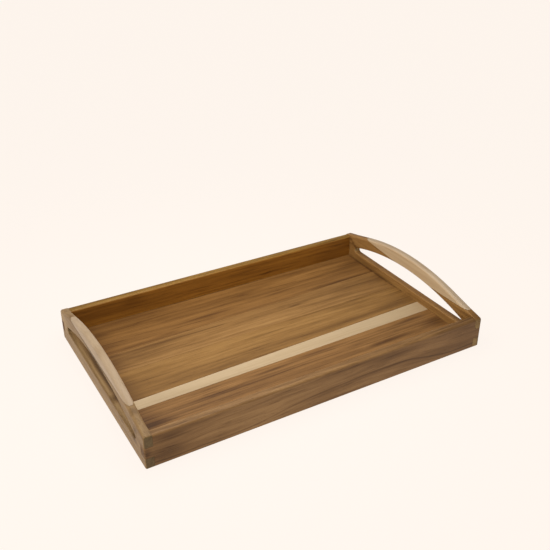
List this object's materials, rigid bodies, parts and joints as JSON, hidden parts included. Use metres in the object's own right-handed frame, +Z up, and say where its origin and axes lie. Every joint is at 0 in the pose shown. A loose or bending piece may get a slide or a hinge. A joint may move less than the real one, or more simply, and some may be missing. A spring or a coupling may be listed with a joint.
{
  "type": "wooden serving tray",
  "caption": "Rectangular teak serving tray with finger-jointed walls, arched end panels with hand slots and light wood caps, and a board floor with a light strip.",
  "frame": {"origin": "under the middle of the tray, on the surface that it stands on", "axes": "+X along the tray from the left end panel to the right one, +Y from the front wall to the back wall, +Z up"},
  "size_m": [0.508, 0.32, 0.074],
  "materials": {
    "frame_teak": "oiled teak, satin",
    "floor_teak": "oiled teak, satin",
    "light_wood": "oiled pale hardwood, satin"
  },
  "bodies": {
    "root": {"front_wall": "frame_teak", "back_wall": "frame_teak", "left_end_board": "frame_teak", "right_end_board": "frame_teak", "left_handle_cap": "light_wood", "right_handle_cap": "light_wood", "floor_front_board": "floor_teak", "floor_light_strip": "light_wood", "floor_middle_board": "floor_teak", "floor_rear_middle_board": "floor_teak", "floor_back_board": "floor_teak"}
  },
  "joints": []
}
